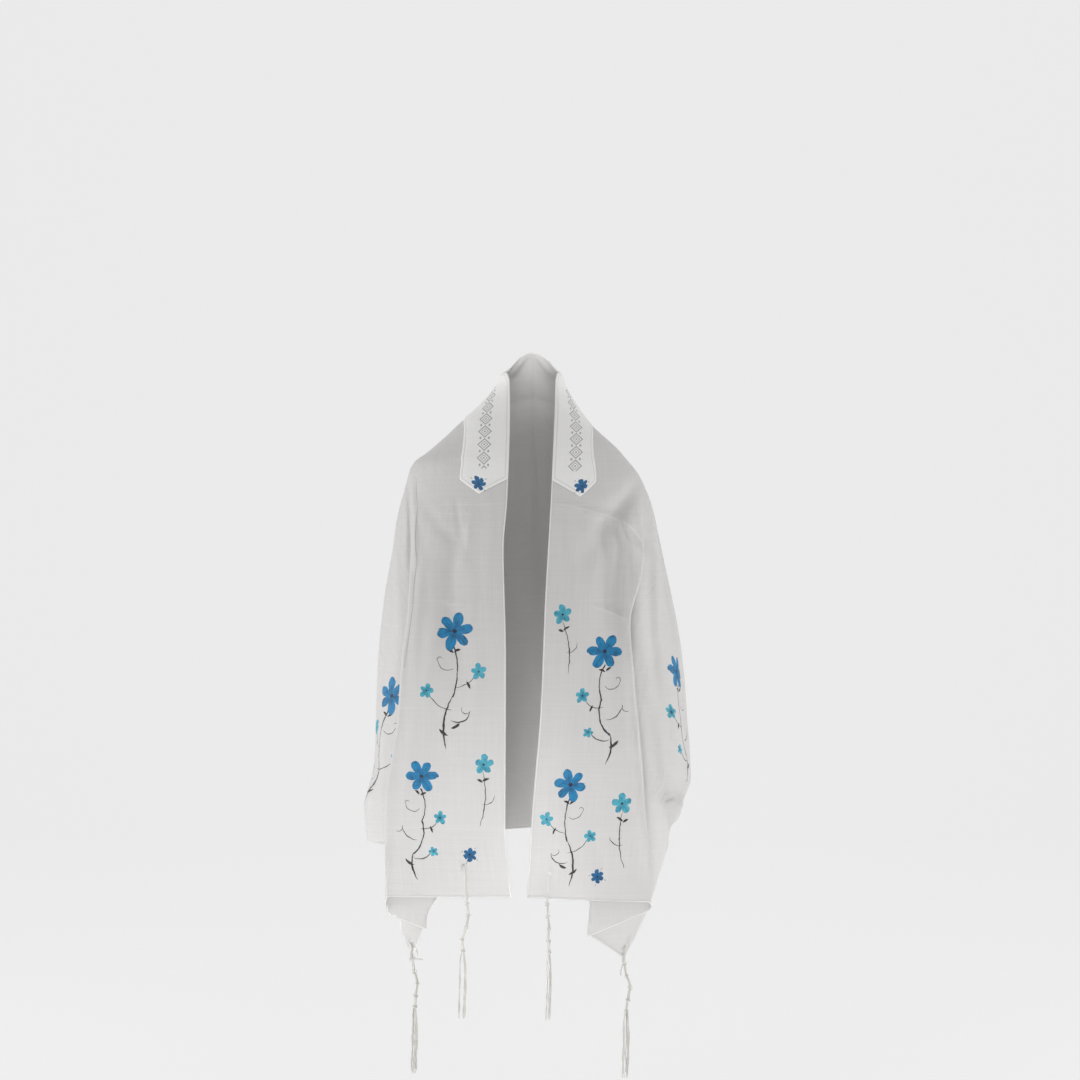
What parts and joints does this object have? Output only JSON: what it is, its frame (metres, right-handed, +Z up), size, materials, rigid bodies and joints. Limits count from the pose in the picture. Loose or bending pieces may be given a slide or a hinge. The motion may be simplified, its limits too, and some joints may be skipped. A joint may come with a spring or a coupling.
{
  "type": "tallit prayer shawl",
  "caption": "Prayer shawl worn open over the shoulders: a draped silk rectangle with a pointed neckband, folded ends and knotted corner tassels.",
  "frame": {"origin": "between the wearer's shoulders, at the height where the neck edge of the cloth rests beside the neck", "axes": "+Z up along the wearer, the open front towards -Y, +X to the right of someone who faces the shawl"},
  "size_m": [0.5707, 0.2573, 1.2534],
  "materials": {
    "silk": "fine white silk, slightly sheer, with a soft sheen",
    "band_silk": "doubled white silk, opaque, with a soft sheen",
    "cord": "matte twisted wool cord"
  },
  "bodies": {
    "root": {"shawl_cloth": "silk", "neckband": "band_silk", "tassel_front_left": "cord", "tassel_front_right": "cord", "tassel_rear_left": "cord", "tassel_rear_right": "cord"}
  },
  "joints": []
}
